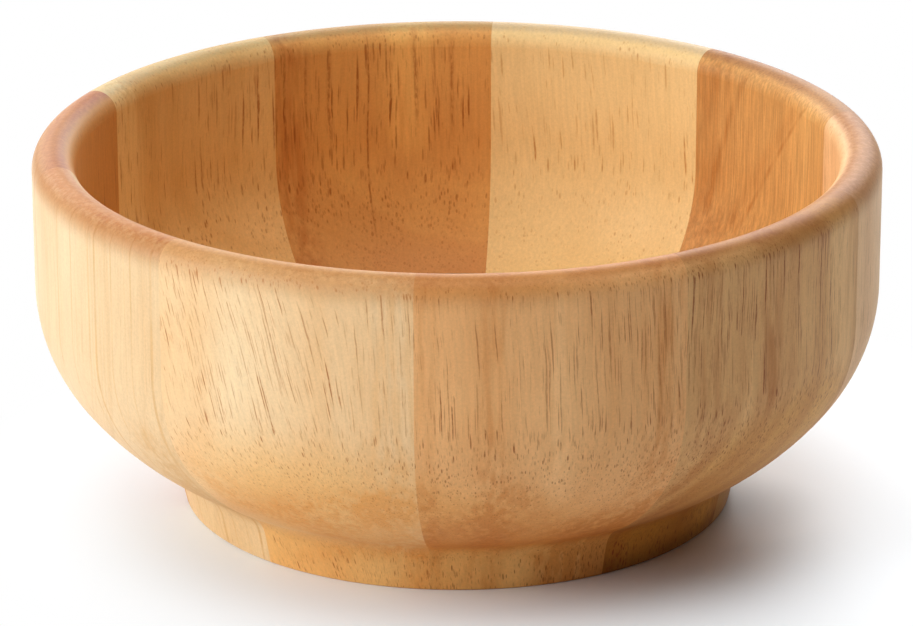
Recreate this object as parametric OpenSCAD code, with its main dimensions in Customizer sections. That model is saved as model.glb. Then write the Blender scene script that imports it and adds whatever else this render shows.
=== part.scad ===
// Small footed bowl, glued up from upright wooden staves round a base disc and turned.
// Millimetres, +Z up. The origin is the middle of the foot, on the table, and -Y is the front.

/* [Bowl] */

// Outer diameter of the straight wall
bowl_d = 151; // [130:0.5:170]

// Height from the table to the top of the rim
bowl_h = 66; // [58:0.1:80]

// Thickness of the wall, and so the width of its full-round rim
wall_t = 7.6; // [5:0.1:10]

/* [Outside curve] */

// Height at which the straight wall starts to curve in
belly_h = 41.2; // [34:0.1:48]

// Slope of the underside where it meets the cove, in degrees from level
underside_angle = 29; // [20:0.5:38]

/* [Foot] */

// Diameter of the foot where it stands
foot_d = 98.8; // [86:0.1:108]

// Height of the foot's straight side, up to the cove
foot_h = 5.7; // [3:0.1:8]

// Lean of the foot's side, in degrees from upright
foot_draft = 13; // [0:0.1:20]

// Radius of the cove between the foot and the underside
cove_r = 6.5; // [3:0.1:9]

// Chamfer round the foot's lower edge
foot_edge = 0.3; // [0.2:0.1:0.8]

// Diameter of the shallow recess turned under the foot
recess_d = 84; // [82:0.5:84.5]

// Depth of that recess
recess_depth = 1.5; // [0.5:0.1:3]

/* [Inside curve] */

// Height at which the inner wall starts to curve in
inner_belly_h = 43.6; // [36:0.1:50]

// Thickness of wood from the table to the inner floor
floor_t = 11.6; // [8:0.1:14]

// Diameter of the flat middle of the inner floor
floor_flat_d = 60; // [40:0.5:76]

/* [Staves] */

// How many equal staves make the ring
stave_count = 10; // [6:1:16]

// Direction of the first glue joint, in degrees from +X towards +Y
first_joint = -95.5; // [-180:0.5:180]

// Diameter of the base disc that closes the ring of staves
base_d = 80; // [76.5:0.5:81.5]

/* [Hidden] */

// Smoothness of the circles
$fn = 180;

bowl_r = bowl_d / 2;
inner_r = bowl_r - wall_t;
foot_r = foot_d / 2;
base_r = base_d / 2;
stave_angle = 360 / stave_count;
rim_r = wall_t / 2;
rim_z = bowl_h - rim_r;

// How far the pieces of the section run into each other where they join
run_in = 1;

// The foot's side rises outwards to the cove, and the cove's end starts the underside.
foot_out = [cos(foot_draft), -sin(foot_draft)];
foot_top = [foot_r + foot_h * tan(foot_draft), foot_h];
chamfer_top = [foot_r + foot_edge * tan(foot_draft), foot_edge];
cove_centre = foot_top + cove_r * foot_out;
cove_end = cove_centre + cove_r * [-sin(underside_angle), cos(underside_angle)];

// Each side is two arcs, drawn by side() from the wall's end to a lower point.
outer_side = side([bowl_r, belly_h], cove_end, 90 - underside_angle);
inner_side = side([inner_r, inner_belly_h], [floor_flat_d / 2, floor_t], 90);

// Tones of the staves in turn, from the one at the front round to the right
stave_tones = [
    "#cf9a63", "#b98a5c", "#c99a68", "#d9974f", "#eabb80",
    "#c57a3c", "#c08143", "#b06a33", "#f0cd98", "#e6ba80"
];
base_tone = "#dcae74";

stave_names = [for (i = [1:stave_count]) str("stave_", i < 10 ? "0" : "", i)];

// Two tangent arcs from a wall's lower end, where it runs straight down, to a point where it
// has turned by turn degrees. The tangents at their meeting point are as long on each side.
function side(top, bottom, turn) =
    let (
        span = top - bottom,
        ends = [sin(turn), 1 + cos(turn)],
        a = 4 - ends * ends,
        b = span * ends,
        tangent = (sqrt(b * b + a * (span * span)) - b) / a,
        middle = span - tangent * ends,
        bend = atan2(middle[0], middle[1]),
        upper_r = tangent / tan(bend / 2),
        lower_r = tangent / tan((turn - bend) / 2)
    )
    [top, bottom, turn, bend, upper_r, lower_r];

function side_top(s) = s[0];
function side_bottom(s) = s[1];
function side_turn(s) = s[2];
function side_bend(s) = s[3];
function side_upper_r(s) = s[4];
function side_lower_r(s) = s[5];
function upper_centre(s) = side_top(s) - [side_upper_r(s), 0];
function lower_centre(s) = side_bottom(s) + side_lower_r(s) * [-cos(side_turn(s)), sin(side_turn(s))];
function ray(centre, length, angle) = centre + length * [cos(angle), sin(angle)];

// Where the two arcs meet, or a point that lies deeper in by inset
function side_knee(s, inset) = ray(upper_centre(s), side_upper_r(s) - inset, -side_bend(s));

// The outer band of a disc between two directions, deep enough to run into what its chord bounds
module arc_band(centre, radius, from, to) {
    middle = (from + to) / 2;
    deep = radius * cos((to - from) / 2) - run_in;
    reach = 1.5 * radius;
    intersection() {
        translate(centre) circle(radius);
        polygon([
            ray(centre, deep, from), ray(centre, reach, from), ray(centre, reach, middle),
            ray(centre, reach, to), ray(centre, deep, to)
        ]);
    }
}

// All that lies between the axis and a side's two arcs
module side_fill(s) {
    axis_top = [0, side_top(s)[1]];
    axis_bottom = [0, side_bottom(s)[1]];
    polygon([axis_bottom, side_bottom(s), side_knee(s, run_in / 2), side_top(s), axis_top]);
    arc_band(upper_centre(s), side_upper_r(s), -side_bend(s), 0);
    arc_band(lower_centre(s), side_lower_r(s), -side_turn(s), -side_bend(s));
}

// The outside, filled in to the axis, up to where the rim starts to round over
module outside_fill() {
    difference() {
        union() {
            translate([0, belly_h]) square([bowl_r, rim_z - belly_h]);
            side_fill(outer_side);
            polygon([[0, 0], [foot_r - foot_edge, 0], chamfer_top, foot_top, cove_end, [0, cove_end[1]]]);
        }
        translate(cove_centre) circle(cove_r);
    }
}

// The hollow, up to the same height
module hollow() {
    translate([0, inner_belly_h]) square([inner_r, rim_z - inner_belly_h]);
    side_fill(inner_side);
}

module rim_round() {
    translate([bowl_r - rim_r, rim_z])
        intersection() {
            circle(rim_r);
            translate([-rim_r, 0]) square([wall_t, rim_r]);
        }
}

module section() {
    difference() {
        outside_fill();
        hollow();
        square([recess_d / 2, recess_depth]);
    }
    rim_round();
}

// One stave, numbered from 1, cut on two radial planes and bored for the base disc
module stave(number) {
    color(stave_tones[(number - 1) % len(stave_tones)])
        rotate_extrude(angle = stave_angle, start = first_joint + (number - 1) * stave_angle)
            difference() {
                section();
                square([base_r, rim_z]);
            }
}

module base_disc() {
    color(base_tone)
        rotate_extrude()
            intersection() {
                section();
                square([base_r, rim_z]);
            }
}

for (i = [1:stave_count])
    stave(i);
base_disc();
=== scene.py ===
"""A small footed bowl of pale hardwood, glued up from ten upright staves, on a white table."""

import math
from types import SimpleNamespace

import bpy
from mathutils import Matrix, Vector


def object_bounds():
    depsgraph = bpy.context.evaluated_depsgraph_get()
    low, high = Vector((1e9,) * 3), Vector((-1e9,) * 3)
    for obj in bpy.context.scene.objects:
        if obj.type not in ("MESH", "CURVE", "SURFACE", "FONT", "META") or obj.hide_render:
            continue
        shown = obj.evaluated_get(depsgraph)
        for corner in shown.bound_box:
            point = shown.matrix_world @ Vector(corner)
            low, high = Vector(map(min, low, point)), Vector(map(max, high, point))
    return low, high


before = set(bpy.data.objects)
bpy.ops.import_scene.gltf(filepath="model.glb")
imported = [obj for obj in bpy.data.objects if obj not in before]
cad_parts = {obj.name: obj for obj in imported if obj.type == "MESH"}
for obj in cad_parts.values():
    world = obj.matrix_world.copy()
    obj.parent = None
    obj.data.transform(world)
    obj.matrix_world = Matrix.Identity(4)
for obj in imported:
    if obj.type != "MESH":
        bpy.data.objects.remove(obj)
cad_low, cad_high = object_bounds()

IMAGE_W = 913
SENSOR_MM = 36.0
MM_PER_METRE = 1000
BOWL_R = (cad_high.x - cad_low.x) / 2
BOWL_H = cad_high.z
WHITE = (1, 1, 1, 1)
BLACK = (0, 0, 0, 1)

# The staves follow each other at equal angles, counted from the front towards the right.
STAVE_TURN = 36.0
FIRST_MIDDLE = 12.5

# Where one tone gives way to the next. Heights and radii are in mm.
DEEP_RADII = (52.0, 76.0)
FOOT_HEIGHTS = (7.0, 11.0)
# Between these heights the painted shade on the foot's lowest edge fades out
SOLE_SHADE_HEIGHTS = (0.5, 5.0)
CREST_HEIGHTS = (62.0, 63.0)
EDGE_HEIGHTS = (60.0, 66.5)
EDGE_RADII = (72.6, 75.2)

# A highlight is painted on the rim's outer shoulder on the right, round this place along X, in mm: the
# shoulder's darker tint fades out there.
EDGE_HIGHLIGHT_X = 37.0
EDGE_HIGHLIGHT_REACH = (6.0, 24.0)

# Radius and height of the hair-thin fin that the solids have at the inner knee, and how it is lightened
FIN_PLACE = (56.08, 20.52)
FIN_REACH = (0.26, 0.36)
FIN_GAMMA = 0.55

# How far up and down a sheet fades out, in mm
SHEET_FADE = 4.0

# Layers of pores, from long to short. A cell's width and length are in mm, its pore's radius in cells.
PORE_LAYERS = [
    dict(cell=0.6, length=24.0, radius=0.27, seed=0.0, weight=1.0, stretches=True),
    dict(cell=0.52, length=13.0, radius=0.3, seed=5.7, weight=1.0, stretches=True),
    dict(cell=0.42, length=8.0, radius=0.3, seed=7.3, weight=0.75, stretches=True),
    dict(cell=0.32, length=4.0, radius=0.32, seed=3.1, weight=0.45, stretches=False),
]

# Soft boxes: the degrees from the front and up, the size in metres and the power in watts
LAMPS = {
    "left": (-66, 26, 1.0, 17.9),
    "overhead": (0, 89, 1.4, 14.9),
    "back_right": (165, 25, 0.8, 11.8),
    "back_left": (-155, 25, 0.8, 9.0),
}
LAMP_REACH = 1.5
LAMP_TARGET = (0, 0, 0.03)
WORLD_LIGHT = 0.05
WORLD_GLOSS = 0.45

# The table: what the bowl gets back from it, and the cooler white that the camera sees
TABLE_FOR_BOWL = (0.86, 0.885, 0.91, 1)
TABLE_FOR_CAMERA = (0.82, 0.885, 0.95, 1)

# Places on the table in metres: the middle of a shadow painted darker beside the foot, and the middle of the
# bowl's shadow
CONTACT_SHADOW_PLACE = Vector((0.050, -0.010, 0))
CONTACT_SHADOW_REACH = 0.018
CONTACT_SHADE = 0.38
SHADOW_PLACE = Vector((0.018, -0.0032, 0))
SHADOW_REACH = (0.047, 0.112)
SHADOW_SQUASH = (1, 1.15, 1)

# Each piece's tones and grain, with USUAL for what a piece doesn't say. Angles are in degrees from the
# front, + to the right, and lengths in mm.
# light, dark: the two tones of the growth rings
# rim, edge, deep, foot: what the end grain on top, the rim's outer shoulder, the wood nearer
#     the axis and the foot are multiplied by. The pale, cool rim tints at the back are partly painted sheen
# rings, pith: the direction across the growth rings, and how far off their centre lies
# gap, contrast, lines: the rings' spacing, how much they differ, and the strength of the lines between them
# sheets: flat layers, as (direction, place, tilt, half width, strength, lowest, highest), paler if below 0
# traces: curved lines, as (angle, slope, bow, middle height, half height, half width, strength)
# arches: lines in the shape of an arch, as (angle, foot's height, steepness, half width, top, strength)
# spots: darker spots, as (angle, height, half width, half height, strength)
# veins: sheets as dark as a pore
# low: a plane beyond which the wood is of another tone, as (direction, place, tilt, half width, tone)
# split: where pale wood stops across the rings, as (place, half width)
# sole: painted shade, what the foot's lowest edge is multiplied by to look darker where it meets the table
# pores, coarse, stretch: the pores' density, width and length, with 1 for usual
# pore_tone, pore_strength: the pores' colour, and how much of it shows
# lean: how far the fibres lean to the right as they go down, in degrees; fibre: how much they show
# crowds: where the pores stand closer, as (angle, half width, amount)
# flat: the grain lies level, along X
USUAL = dict(
    coarse=1.0, stretch=1.0, lines=0.2, lean=0.0, fibre=0.06, sheets=(), traces=(), arches=(), spots=(),
    veins=(), crowds=(), split=None, low=None, sole=1.0, flat=False,
)
PIECES = {
    "stave_01": dict(
        light="#f9c386", dark="#d89352", rim="#ccb37f", edge="#ceb387", deep="#ebc482", foot="#fffee0",
        rings=-50, pith=160, gap=3.6, contrast=0.35, lines=0.05,
        pores=1.15, stretch=1.5, pore_tone="#9a5218", pore_strength=0.88, lean=3,
        sheets=[
            (95, 0, 0, 5.0, 0.3, -5, 90), (103, 0, 0, 5.0, -0.2, -5, 90), (118, 0, 0, 8.0, 0.34, -5, 90),
            (86, 0, 0, 3.0, 0.25, -5, 90), (112, 0, 0, 12.0, 0.55, -5, 19), (121, 0, 0, 6.0, 0.7, -8, 8),
            (93, 0, 0, 16.0, 0.3, 14, 26), (-20, 36.0, -1.0, 3.0, 0.3, 4, 30),
        ],
        low=(-60, -45.0, -3.0, 15.0, "#fbf6e2"),
        crowds=[(26, 6, 0.8), (-2, 4, 0.3), (16, 3, 0.3)],
    ),
    "stave_02": dict(
        light="#edbc7e", dark="#bc7a3f", rim="#c6a96b", edge="#c4a670", deep="#cea36b", foot="#e6c771",
        rings=-15, pith=150, gap=3.0, contrast=0.3, lines=0.04,
        pores=1.5, stretch=1.4, pore_tone="#863a08", pore_strength=0.95,
        sheets=[
            (134.5, 0, 0, 6.0, 0.28, 36, 90), (124, 0, 0, 6.0, 0.2, -5, 90),
            (152, 0, 0, 9.0, -0.35, -5, 90),
        ],
        traces=[
            (39.6, 6.5, -5.5, 32, 19, 2.6, -0.25), (35.6, 6.5, -5.5, 27, 15, 3.0, 0.12),
            (44.0, 6.5, -5.5, 32, 19, 3.6, 0.12),
        ],
        # The foot's lowest edge gets a painted shade
        low=(54.2, 43.9, -0.888, 3.0, "#f2e8c8"), sole=0.68,
        crowds=[(34, 5, 0.8), (45, 4, 0.6), (57, 4, 0.4)],
    ),
    "stave_03": dict(
        light="#f8ce98", dark="#dca672", rim="#b99660", edge="#b08c5c", deep="#dca862", foot="#d8c490",
        rings=30, pith=150, gap=3.2, contrast=0.4, lines=0.04,
        pores=1.0, pore_tone="#8a4a14", pore_strength=0.75, lean=-2,
    ),
    "stave_04": dict(
        light="#e3b06c", dark="#bd8143", rim="#cab79e", edge="#c8ac84", deep="#f4e2c4", foot="#f4e2c4",
        rings=120, pith=140, gap=5.0, contrast=0.3, lines=0.0, fibre=0.2,
        pores=0.35, pore_tone="#a0602c", pore_strength=0.55,
        sheets=[(225, 0, 0, 9.0, 0.3, -5, 90), (200, 0, 0, 11.0, -0.2, -5, 90)],
        traces=[
            (132.9, -4.3, -1.2, 50, 16, 1.3, 0.3), (121.0, -9.3, -1.6, 49, 16, 0.9, 0.4),
            (123.0, -9.3, -1.6, 49, 16, 3.0, 0.25),
        ],
    ),
    # The rims of staves 05 to 07, at the back, are tinted pale and cool, partly as painted sheen
    "stave_05": dict(
        light="#f5d89d", dark="#e4be7e", rim="#dadaea", edge="#c8ac84", deep="#f8ecd6", foot="#f8ecd6",
        rings=150, pith=140, gap=6.0, contrast=0.25, lines=0.04,
        pores=0.42, coarse=1.45, pore_tone="#bc7c34", pore_strength=0.85, lean=-4,
        crowds=[(151, 4, 0.9), (172, 3, 0.5)],
    ),
    "stave_06": dict(
        light="#f1bb6c", dark="#cf8d49", rim="#cddbec", edge="#c8ac84", deep="#d5ba9d", foot="#e2cdb1",
        rings=170, pith=150, gap=3.4, contrast=0.4, lines=0.05,
        pores=1.4, coarse=1.65, stretch=1.2, pore_tone="#944a10", pore_strength=0.85,
        sheets=[(-82, 0, 0, 7.0, -0.55, 42, 90), (-62, 0, 0, 6.0, 0.5, -5, 90)],
        arches=[(-170.3, 47.0, 1.9, 0.45, 64, 0.5), (-163.0, 31.2, 1.9, 0.4, 35, 0.5)],
        veins=[
            (-61.4, 0, 0, 0.6, 0.8, 44, 63), (-65.3, 0, 0, 0.45, 0.7, 46, 62),
            (-69.3, 0, 0, 0.6, 0.8, 45, 63), (-75.5, 0, 0, 0.3, 0.9, 28, 64),
            (-83.4, 0, 0, 0.7, 0.8, 48, 63), (-89.3, 0, 0, 0.6, 0.8, 46, 63),
        ],
        crowds=[(-178, 8, 0.6), (-160, 6, 0.5)],
    ),
    "stave_07": dict(
        light="#ffdb9b", dark="#dda459", rim="#d8dfe2", edge="#c8ac84", deep="#fffffa", foot="#f6e8d0",
        rings=200, pith=150, gap=3.4, contrast=0.35, lines=0.04,
        pores=1.2, coarse=1.55, stretch=1.2, pore_tone="#a65814", pore_strength=0.85,
        sheets=[(-26, 0, 0, 8.0, -0.8, -5, 90)],
        low=(-131.5, 740.0, 20.0, 100.0, "#f2efe7"),
        crowds=[(-136, 5, 0.8), (-124, 3, 0.4)],
    ),
    "stave_08": dict(
        light="#eccca2", dark="#d49750", rim="#be8c58", edge="#b88c5c", deep="#f4e0c4", foot="#f4e0c4",
        rings=-95.5, pith=400, gap=2.6, contrast=0.3, lines=0.3, split=(70.0, 3.0),
        pores=0.5, pore_tone="#9a5624", pore_strength=0.6,
    ),
    "stave_09": dict(
        light="#efd3a9", dark="#dcb27c", rim="#c9934f", edge="#c08a50", deep="#f4e0ba", foot="#fffaf0",
        rings=-95, pith=240, gap=3.0, contrast=0.25, lines=0.25,
        pores=0.12, pore_tone="#c08b55", pore_strength=0.5,
        sheets=[
            (35.1, 0, 0, 0.5, 0.8, -5, 90), (46.9, 0, 0, 0.45, 0.7, -5, 90), (23.8, 0, 0, 0.35, 0.4, -5, 90),
            (28.5, 0, 0, 0.35, 0.4, -5, 90), (33.5, 0, 0, 0.3, 0.35, -5, 90), (38.9, 0, 0, 0.3, 0.35, -5, 90),
            (43.0, 0, 0, 0.3, 0.35, -5, 90), (44, 0, 0, 9.0, 0.5, 12, 30),
        ],
        traces=[(-44.7, 4.0, 0.0, 24.3, 4.5, 0.4, 0.7)],
        low=(90, -40.0, 0, 0.8, "#f8eddc"),
    ),
    "stave_10": dict(
        light="#f6dcb0", dark="#e8b070", rim="#cbac80", edge="#cbac88", deep="#fcf2e4", foot="#fbe2b4",
        rings=-70, pith=160, gap=5.0, contrast=0.25, lines=0.04,
        pores=1.15, stretch=1.6, pore_tone="#b0672a", pore_strength=0.92, lean=15,
        sheets=[
            (82, 0, 0, 8.0, 0.22, -5, 90), (-10, 43.0, -1.1, 2.6, 0.35, 4, 26),
            (-24, 51.5, -0.7, 2.2, 0.3, 4, 26),
        ],
        spots=[(-40.4, 28.9, 0.8, 0.6, 0.9)],
        low=(-19.6, 47.8, -0.806, 5.0, "#feeac2"),
        crowds=[(-14, 9, 1.0), (-25, 5, 0.7), (-35, 4, 0.3)],
    ),
    "base_disc": dict(
        light="#f0c890", dark="#dcae74", rim="#ffffff", edge="#ffffff", deep="#ffffff", foot="#ffffff",
        rings=90, pith=150, gap=4.0, contrast=0.4,
        pores=0.9, pore_tone="#8f5d33", pore_strength=0.6, flat=True,
    ),
}


def srgb(text):
    """A #rrggbb colour as linear RGBA."""
    parts = [int(text[i:i + 2], 16) / 255 for i in (1, 3, 5)]
    linear = [c / 12.92 if c <= 0.04045 else ((c + 0.055) / 1.055) ** 2.4 for c in parts]
    return (*linear, 1.0)


def across(angle, rise=0.0):
    """The direction that points at an angle from the front, level or with a rise in each mm."""
    turn = math.radians(angle)
    return (math.sin(turn), -math.cos(turn), rise)


class Graph:
    """Short calls that add shader nodes and return the new node's output."""

    def __init__(self, tree):
        self.tree = tree

    def feed(self, socket, value):
        if isinstance(value, bpy.types.NodeSocket):
            self.tree.links.new(value, socket)
        else:
            socket.default_value = value

    def add(self, kind, inputs, **settings):
        node = self.tree.nodes.new(kind)
        for name, value in settings.items():
            setattr(node, name, value)
        for name, value in inputs.items():
            self.feed(node.inputs[name], value)
        return node

    def math(self, operation, *values, clamp=False):
        node = self.tree.nodes.new("ShaderNodeMath")
        node.operation = operation
        node.use_clamp = clamp
        for socket, value in zip(node.inputs, values):
            self.feed(socket, value)
        return node.outputs["Value"]

    def centred(self, value, span):
        """A value from 0 to 1 as one from -span / 2 to span / 2."""
        return self.math("MULTIPLY_ADD", value, span, -span / 2)

    def far_from(self, value, middle):
        return self.math("ABSOLUTE", self.math("SUBTRACT", value, middle))

    def squared(self, value):
        return self.math("MULTIPLY", value, value)

    def vector(self, operation, *values):
        node = self.tree.nodes.new("ShaderNodeVectorMath")
        node.operation = operation
        for socket, value in zip(node.inputs, values):
            self.feed(socket, value)
        return node

    def moved(self, vector, offset):
        return self.vector("ADD", vector, offset).outputs["Vector"]

    def scaled(self, vector, factors):
        return self.vector("MULTIPLY", vector, factors).outputs["Vector"]

    def length(self, vector):
        return self.vector("LENGTH", vector).outputs["Value"]

    def along(self, vector, direction):
        return self.vector("DOT_PRODUCT", vector, direction).outputs["Value"]

    def noise(self, vector, scale=1.0, detail=2.0, roughness=0.5):
        inputs = {"Vector": vector, "Scale": scale, "Detail": detail, "Roughness": roughness}
        return self.add("ShaderNodeTexNoise", inputs).outputs["Fac"]

    def noise_1d(self, value, scale=1.0, detail=2.0):
        inputs = {"W": value, "Scale": scale, "Detail": detail}
        return self.add("ShaderNodeTexNoise", inputs, noise_dimensions="1D").outputs["Fac"]

    def ease(self, value, start, end, low=0.0, high=1.0):
        """low before start, high after end, and a smooth step between them."""
        inputs = {"Value": value, "From Min": start, "From Max": end, "To Min": low, "To Max": high}
        return self.add("ShaderNodeMapRange", inputs, interpolation_type="SMOOTHSTEP").outputs["Result"]

    def mix(self, factor, a, b, blend="MIX"):
        node = self.tree.nodes.new("ShaderNodeMix")
        node.data_type = "RGBA"
        node.blend_type = blend
        first, second = [socket for socket in node.inputs if socket.type == "RGBA"]
        self.feed(node.inputs["Factor"], factor)
        self.feed(first, a)
        self.feed(second, b)
        return next(socket for socket in node.outputs if socket.type == "RGBA")

    def tinted(self, color, text):
        return self.mix(1.0, color, srgb(text), blend="MULTIPLY")

    def shaded(self, color, value):
        """A colour multiplied by a number that may differ from place to place."""
        grey = self.add("ShaderNodeCombineColor", {"Red": value, "Green": value, "Blue": value})
        return self.mix(1.0, color, grey.outputs["Color"], blend="MULTIPLY")


def measure(g, piece, middle, seed):
    """Where a point of a piece lies, in mm and degrees, and how far it is across the growth rings."""
    coordinates = g.add("ShaderNodeTexCoord", {})
    bowl_place = g.scaled(coordinates.outputs["Object"], (MM_PER_METRE, MM_PER_METRE, MM_PER_METRE))
    at = SimpleNamespace(place=bowl_place, middle=middle, seed=seed)
    upright = (0, 0, 1)
    if piece.flat:
        inputs = {"Vector": bowl_place, "Angle": math.pi / 2}
        at.place = g.add("ShaderNodeVectorRotate", inputs, rotation_type="Y_AXIS").outputs["Vector"]
        upright = (1, 0, 0)
    at.facing = g.math("ABSOLUTE", g.along(coordinates.outputs["Normal"], upright))
    at.height = g.along(at.place, (0, 0, 1))
    at.out = g.length(g.scaled(bowl_place, (1, 1, 0)))
    turn = g.math("ARCTAN2", g.along(at.place, across(middle + 90)), g.along(at.place, across(middle)))
    at.turn = g.math("DEGREES", turn)

    # The distance from the pith, less the pith's distance from the bowl's axis
    from_pith = g.moved(at.place, Vector(across(piece.rings)) * piece.pith)
    radius = g.length(g.scaled(from_pith, (1, 1, 0)))
    at.wobble = g.noise(g.moved(g.scaled(at.place, (1, 1, 0.35)), (seed * 11, 0, 0)), scale=0.035)
    at.ring = g.math("ADD", g.math("SUBTRACT", radius, piece.pith), g.centred(at.wobble, 5.0))
    return at


def sideways(g, at, angle):
    """How far a point lies round the bowl from an angle, in mm."""
    mm_per_degree = g.math("MULTIPLY", at.out, math.radians(1.0))
    return g.math("MULTIPLY", g.math("SUBTRACT", at.turn, angle), mm_per_degree)


def sheet_mask(g, place, height, wobble, sheet):
    """A thin flat layer of wood that stands or leans, faded out below and above."""
    direction, middle, tilt, half_width, strength, lowest, highest = sheet
    off = g.math("SUBTRACT", g.along(place, across(direction, tilt)), middle)
    off = g.math("ABSOLUTE", g.math("ADD", off, g.centred(wobble, 1.4)))
    inside = g.ease(off, 0.0, half_width, strength, 0.0)
    inside = g.math("MULTIPLY", inside, g.ease(height, lowest - SHEET_FADE, lowest + SHEET_FADE))
    return g.math("MULTIPLY", inside, g.ease(height, highest - SHEET_FADE, highest + SHEET_FADE, 1.0, 0.0))


def trace_mask(g, at, trace):
    """A thin line that runs up the wall in a bow."""
    angle, slope, bow, centre, reach, half_width, strength = trace
    up = g.math("DIVIDE", g.math("SUBTRACT", at.height, centre), reach)
    path = g.math("MULTIPLY_ADD", g.math("MULTIPLY_ADD", up, bow, slope), up, angle - at.middle)
    inside = g.ease(g.math("ABSOLUTE", sideways(g, at, path)), 0.0, half_width, strength, 0.0)
    return g.math("MULTIPLY", inside, g.ease(g.math("ABSOLUTE", up), 0.8, 1.05, 1.0, 0.0))


def arch_mask(g, at, arch):
    """A thin line in the shape of an arch stood on its head."""
    angle, foot, steepness, half_width, top, strength = arch
    side = sideways(g, at, angle - at.middle)
    rise = g.math("MULTIPLY", g.squared(side), steepness)
    off = g.math("ABSOLUTE", g.math("SUBTRACT", g.math("SUBTRACT", at.height, foot), rise))
    slant = g.math("MULTIPLY_ADD", g.math("ABSOLUTE", side), 2 * steepness, 1.0)
    inside = g.ease(g.math("DIVIDE", off, slant), 0.0, half_width, strength, 0.0)
    return g.math("MULTIPLY", inside, g.ease(at.height, top - 3, top + 1, 1.0, 0.0))


def spot_mask(g, at, spot):
    angle, centre, half_width, half_height, strength = spot
    side = g.math("DIVIDE", sideways(g, at, angle - at.middle), half_width)
    up = g.math("DIVIDE", g.math("SUBTRACT", at.height, centre), half_height)
    return g.ease(g.math("ADD", g.squared(side), g.squared(up)), 0.2, 1.0, strength, 0.0)


def ring_color(g, at, piece):
    """The growth rings and the marks of one piece, in its two tones."""
    broad = g.noise_1d(g.math("ADD", at.ring, at.seed * 37.0), scale=1 / (2.2 * piece.gap), detail=3.0)
    tone = g.math("MULTIPLY_ADD", g.math("SUBTRACT", broad, 0.5), 2.6 * piece.contrast, 0.4)
    ragged = g.noise(g.moved(g.scaled(at.place, (0.7, 0.7, 0.07)), (at.seed, 0, 0)))
    ragged = g.ease(ragged, 0.3, 0.7, 0.3, 1.5)
    for sheet in piece.sheets:
        tone = g.math("MULTIPLY_ADD", sheet_mask(g, at.place, at.height, at.wobble, sheet), ragged, tone)
    for trace in piece.traces:
        tone = g.math("MULTIPLY_ADD", trace_mask(g, at, trace), ragged, tone)
    for arch in piece.arches:
        tone = g.math("ADD", tone, arch_mask(g, at, arch))
    for spot in piece.spots:
        tone = g.math("ADD", tone, spot_mask(g, at, spot))
    cloud = g.noise(g.scaled(at.place, (1, 1, 0.5)), scale=0.06, detail=3.0)
    tone = g.math("ADD", tone, g.centred(cloud, 0.8), clamp=True)
    if piece.split:
        reach, width = piece.split
        pale = g.math("MULTIPLY_ADD", at.wobble, 2.0, at.ring)
        pale = g.ease(pale, reach + 1 - width, reach + 1 + width, 1.0, 0.0)
        tone = g.math("ADD", pale, g.centred(broad, 0.5), clamp=True)
    return g.mix(tone, srgb(piece.light), srgb(piece.dark))


def tint_by_place(g, at, piece, plain):
    """Wood nearer the axis, on the foot and beyond the low plane has a tone of its own, and a painted shade
    can darken the foot's lowest edge.
    """
    inward = g.ease(g.math("MULTIPLY_ADD", at.wobble, 6.0, at.out), *DEEP_RADII, 1.0, 0.0)
    color = g.mix(inward, plain, g.tinted(plain, piece.deep))
    bottom = g.ease(at.height, *FOOT_HEIGHTS, 1.0, 0.0)
    color = g.mix(bottom, color, g.tinted(plain, piece.foot))
    if piece.low:
        direction, middle, tilt, half_width, tone = piece.low
        beyond = g.along(at.place, across(direction, tilt))
        beyond = g.math("MULTIPLY_ADD", at.wobble, 1.6 * half_width, beyond)
        warm = g.ease(beyond, middle - 0.2 * half_width, middle + 1.8 * half_width)
        warm = g.math("MULTIPLY", warm, g.math("SUBTRACT", 1.0, bottom))
        color = g.mix(warm, color, g.tinted(color, tone))
    # Painted shade: the foot's lowest edge is darkened where it stands on the table
    if piece.sole < 1.0:
        color = g.shaded(color, g.ease(at.height, *SOLE_SHADE_HEIGHTS, piece.sole, 1.0))
    return color


def tint_rim(g, at, piece, color):
    """End grain on the rim takes up more oil, and looks darker and warmer. The pale, cool rim tints at the
    back are partly painted sheen, and a painted highlight pales the outer shoulder on the right.
    """
    mottle = g.noise(at.place, scale=0.9, detail=4.0, roughness=0.7)
    crest = g.ease(g.math("MULTIPLY_ADD", mottle, 0.1, at.facing), 0.72, 1.0)
    crest = g.math("MULTIPLY", g.ease(at.height, *CREST_HEIGHTS), crest)
    # Painted sheen: on the back staves the pale, cool end-grain tint also stands in for the white the rim
    # reflects
    crested = g.mix(crest, color, g.tinted(color, piece.rim))
    shoulder = g.ease(g.math("ADD", mottle, at.out), *EDGE_RADII)
    shoulder = g.math("MULTIPLY", g.ease(at.height, *EDGE_HEIGHTS), shoulder)
    # Painted highlight: round a place on the right the shoulder's darker tint fades out, so that it looks lit
    off = g.far_from(g.along(at.place, (1, 0, 0)), EDGE_HIGHLIGHT_X)
    shoulder = g.math("MULTIPLY", shoulder, g.ease(off, *EDGE_HIGHLIGHT_REACH, 0.15, 1.0))
    color = g.mix(shoulder, crested, g.tinted(color, piece.edge))
    grain = g.math("MULTIPLY", g.ease(at.facing, 0.2, 0.8), g.ease(mottle, 0.35, 0.6, 0.22, 0.0))
    return g.mix(grain, color, srgb(piece.dark))


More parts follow.
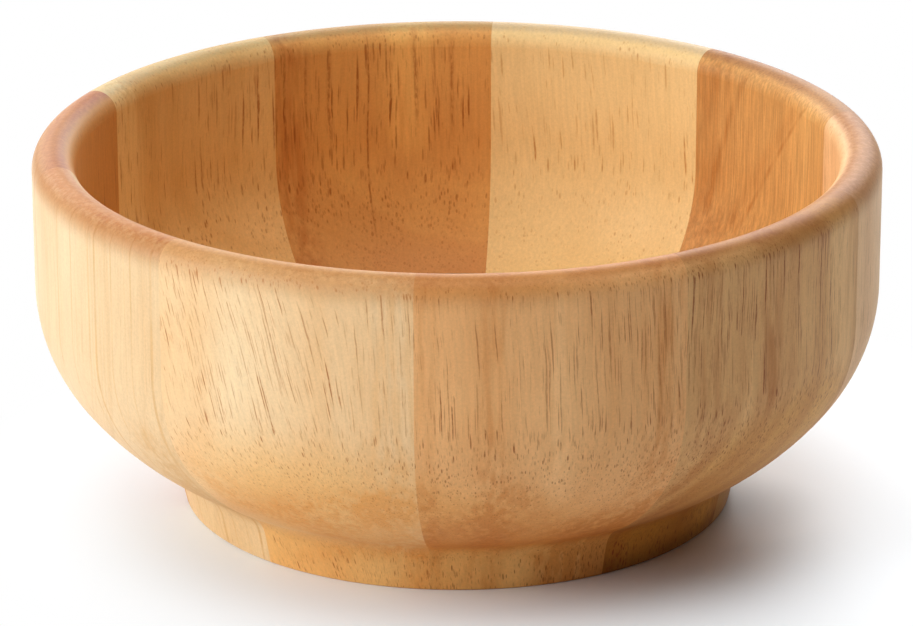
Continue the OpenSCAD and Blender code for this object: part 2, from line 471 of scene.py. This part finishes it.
def fibre_place(g, at, lean):
    """Leans and sways space, so that straight cells in it follow the wood's fibres."""
    slide = g.math("MULTIPLY", g.math("SUBTRACT", at.height, 45.0), math.tan(math.radians(lean)))
    # A strong lean dies out towards the piece's right side
    if lean > 10:
        slide = g.math("MULTIPLY", slide, g.ease(at.turn, 2.0, 14.0, 1.0, 0.2))
    seed = at.seed * 5.0
    sway = g.noise(g.moved(g.scaled(at.place, (0.07, 0.07, 0.045)), (seed, 0, 0)), detail=1.0)
    kink = g.noise(g.moved(g.scaled(at.place, (0.3, 0.3, 0.3)), (0, seed, 0)), detail=1.0)
    slide = g.math("ADD", slide, g.centred(sway, 1.4))
    slide = g.math("ADD", slide, g.centred(kink, 0.26))
    shift = g.vector("SCALE", across(at.middle + 90))
    g.feed(shift.inputs["Scale"], slide)
    return g.vector("ADD", at.place, shift.outputs["Vector"]).outputs["Vector"]


def pore_mask(g, fibres, seed, cell, length, radius, share):
    """Fine tubes along the fibres: one to a cell, in a share of the cells."""
    place = g.moved(g.scaled(fibres, (1 / cell, 1 / cell, 1 / length)), (seed * 3.7, seed * 1.3, seed))
    cells = g.add("ShaderNodeTexVoronoi", {"Vector": place, "Scale": 1.0, "Randomness": 1.0})
    pick = g.add("ShaderNodeSeparateColor", {"Color": cells.outputs["Color"]})
    present = g.ease(g.math("SUBTRACT", pick.outputs["Red"], share), -0.01, 0.01, 1.0, 0.0)
    size = g.math("MULTIPLY_ADD", pick.outputs["Green"], 0.4 * radius, 0.7 * radius)
    off = g.math("SUBTRACT", cells.outputs["Distance"], size)
    inside = g.ease(off, -0.4 * radius, 0.15 * radius, 1.0, 0.0)
    depth = g.math("MULTIPLY_ADD", pick.outputs["Blue"], 0.6, 0.4)
    return g.math("MULTIPLY", g.math("MULTIPLY", inside, present), depth)


def pore_share(g, at, piece):
    """In what share of the cells there is a pore: they stand in upright drifts."""
    crowd = g.noise(g.moved(g.scaled(at.place, (1, 1, 0.2)), (0, at.seed * 9, 0)), scale=0.16)
    share = g.ease(crowd, 0.3, 0.65, 0.2, 1.0)
    for angle, half_width, amount in piece.crowds:
        off = g.far_from(at.turn, angle - at.middle)
        share = g.math("ADD", share, g.ease(off, 0.0, half_width, amount, 0.0))
    return g.math("MULTIPLY", share, 0.6 * piece.pores)


def all_pores(g, at, piece, fibres):
    share = pore_share(g, at, piece)
    pore = 0.0
    for layer in PORE_LAYERS:
        length = layer["length"] * (piece.stretch if layer["stretches"] else 1.0)
        seed, cell = at.seed + layer["seed"], layer["cell"] * piece.coarse
        mask = pore_mask(g, fibres, seed, cell, length, layer["radius"], share)
        pore = g.math("MAXIMUM", pore, g.math("MULTIPLY", mask, layer["weight"]))
    broken = g.noise(g.scaled(fibres, (2.0, 2.0, 0.7)))
    pore = g.math("MULTIPLY", pore, g.ease(broken, 0.34, 0.54, 0.55, 1.0))
    pore = g.math("MULTIPLY", pore, g.ease(at.facing, 0.1, 0.9, 1.0, 0.4))
    for vein in piece.veins:
        mask = sheet_mask(g, fibres, at.height, 0.5, vein)
        pore = g.math("MAXIMUM", pore, g.math("MULTIPLY", mask, g.ease(broken, 0.35, 0.6, 0.3, 1.0)))
    return pore


def pale_fin(g, at, color):
    """Where the inner wall's arcs meet, a lighter tone makes up for the shade of the solids' thin fin."""
    side = g.math("SUBTRACT", at.out, FIN_PLACE[0])
    up = g.math("SUBTRACT", at.height, FIN_PLACE[1])
    off = g.math("SQRT", g.math("ADD", g.squared(side), g.squared(up)))
    lighter = g.add("ShaderNodeGamma", {"Color": color, "Gamma": FIN_GAMMA}).outputs["Color"]
    return g.mix(g.ease(off, *FIN_REACH, 1.0, 0.0), color, lighter)


def wood(name, piece, middle, seed):
    """One piece's wood, solid through the piece: growth rings, fibres and pores."""
    material = bpy.data.materials.new(name)
    material.use_nodes = True
    g = Graph(material.node_tree)
    at = measure(g, piece, middle, seed)
    color = tint_by_place(g, at, piece, ring_color(g, at, piece))

    if piece.lines:
        thin = g.noise_1d(g.math("ADD", at.ring, seed * 91.0), scale=1 / piece.gap)
        line = g.ease(g.far_from(thin, 0.5), 0.0, 0.03, 1.0, 0.0)
        color = g.mix(g.math("MULTIPLY", line, piece.lines), color, srgb(piece.dark))

    # Fine fibres in faint streaks of uneven width, and a faint fuzz
    fibres = fibre_place(g, at, piece.lean)
    fine = g.noise(g.scaled(fibres, (1.9, 1.9, 0.09)), detail=4.0, roughness=0.65)
    color = g.shaded(color, g.ease(fine, 0.3, 0.7, 1 - piece.fibre, 1 + 0.6 * piece.fibre))
    fuzz = g.noise(at.place, scale=2.2, detail=3.0, roughness=0.7)
    color = g.shaded(color, g.ease(fuzz, 0.3, 0.7, 0.95, 1.04))

    color = tint_rim(g, at, piece, color)
    pore = all_pores(g, at, piece, fibres)
    color = g.mix(g.math("MULTIPLY", pore, piece.pore_strength), color, srgb(piece.pore_tone))
    if not piece.flat:
        color = pale_fin(g, at, color)

    shader = material.node_tree.nodes["Principled BSDF"]
    g.feed(shader.inputs["Base Color"], color)
    shader.inputs["Roughness"].default_value = 0.52
    shader.inputs["Specular IOR Level"].default_value = 0.25
    return material


def make_camera():
    """A long lens in front of the bowl, a little above it and to neither side."""
    focal_px = 5088.0
    distance = 11.984 * BOWL_R
    rise = math.radians(18.156)
    pitch = math.radians(20.114)
    data = bpy.data.cameras.new("camera")
    data.sensor_width = SENSOR_MM
    data.lens = focal_px * SENSOR_MM / IMAGE_W
    data.clip_end = 20
    data.shift_x = -0.0009
    camera = bpy.data.objects.new("camera", data)
    camera.location = (0, -distance * math.cos(rise), BOWL_H + distance * math.sin(rise))
    tilt = Matrix.Rotation(math.pi / 2 - pitch, 3, "X")
    roll = Matrix.Rotation(math.radians(-0.1), 3, "Z")
    camera.rotation_euler = (tilt @ roll).to_euler()
    bpy.context.scene.collection.objects.link(camera)
    bpy.context.scene.camera = camera


def soft_box(name, angle, rise, size, power):
    """A square lamp that far round from the front and up, turned to the bowl."""
    turn, up = math.radians(angle), math.radians(rise)
    level = LAMP_REACH * math.cos(up)
    data = bpy.data.lights.new(name, "AREA")
    data.shape = "SQUARE"
    data.size = size
    data.energy = power
    light = bpy.data.objects.new(name, data)
    light.location = (level * math.sin(turn), -level * math.cos(turn), LAMP_REACH * math.sin(up))
    look = Vector(LAMP_TARGET) - light.location
    light.rotation_euler = look.to_track_quat("-Z", "Y").to_euler()
    bpy.context.scene.collection.objects.link(light)


def make_world():
    """White where the camera sees it, half as bright in reflections, and dark as a light."""
    world = bpy.data.worlds.new("world")
    world.use_nodes = True
    bpy.context.scene.world = world
    g = Graph(world.node_tree)
    background = world.node_tree.nodes["Background"]
    path = g.add("ShaderNodeLightPath", {})
    unseen = g.math("MULTIPLY_ADD", path.outputs["Is Glossy Ray"], WORLD_GLOSS, WORLD_LIGHT)
    background.inputs["Color"].default_value = WHITE
    g.feed(background.inputs["Strength"], g.ease(path.outputs["Is Camera Ray"], 0.0, 1.0, unseen, 1.0))


def make_floor():
    """A white table, which the camera sees as pure white away from the bowl's shadow, with a shadow painted
    darker beside the foot.
    """
    side = 6.0
    mesh = bpy.data.meshes.new("floor")
    corners = [(-side, -side, 0), (side, -side, 0), (side, side, 0), (-side, side, 0)]
    mesh.from_pydata(corners, [], [(0, 1, 2, 3)])
    floor = bpy.data.objects.new("floor", mesh)
    bpy.context.scene.collection.objects.link(floor)
    material = bpy.data.materials.new("white_table")
    material.use_nodes = True
    g = Graph(material.node_tree)
    shader = material.node_tree.nodes["Principled BSDF"]
    seen = g.add("ShaderNodeLightPath", {}).outputs["Is Camera Ray"]
    place = g.add("ShaderNodeTexCoord", {}).outputs["Object"]

    # Painted shadow: for the camera alone, the table is darker beside the foot on the right
    off = g.length(g.moved(place, -CONTACT_SHADOW_PLACE))
    painted_contact_shadow = g.ease(off, 0.0, CONTACT_SHADOW_REACH, CONTACT_SHADE, 0.0)
    for_camera = g.mix(painted_contact_shadow, TABLE_FOR_CAMERA, BLACK)
    g.feed(shader.inputs["Base Color"], g.mix(seen, TABLE_FOR_BOWL, for_camera))
    shader.inputs["Roughness"].default_value = 0.45

    # Away from the bowl it glows pure white, for the camera alone
    glow = g.add("ShaderNodeEmission", {"Color": WHITE, "Strength": 1.0})
    off = g.length(g.scaled(g.moved(place, -SHADOW_PLACE), SHADOW_SQUASH))
    both = g.add("ShaderNodeMixShader", {0: g.math("MULTIPLY", seen, g.ease(off, *SHADOW_REACH))})
    g.feed(both.inputs[1], shader.outputs["BSDF"])
    g.feed(both.inputs[2], glow.outputs["Emission"])
    out = material.node_tree.nodes["Material Output"]
    g.feed(out.inputs["Surface"], both.outputs["Shader"])
    mesh.materials.append(material)


def dress(name, number):
    piece = SimpleNamespace(**{**USUAL, **PIECES[name]})
    material = wood("wood_" + name, piece, FIRST_MIDDLE + number * STAVE_TURN, 1.0 + number)
    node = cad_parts[name]
    node.data.materials.clear()
    node.data.materials.append(material)


make_camera()
for lamp, settings in LAMPS.items():
    soft_box(lamp, *settings)
make_world()
make_floor()
for number, name in enumerate(PIECES):
    dress(name, number)

bpy.context.scene.view_settings.view_transform = "Standard"
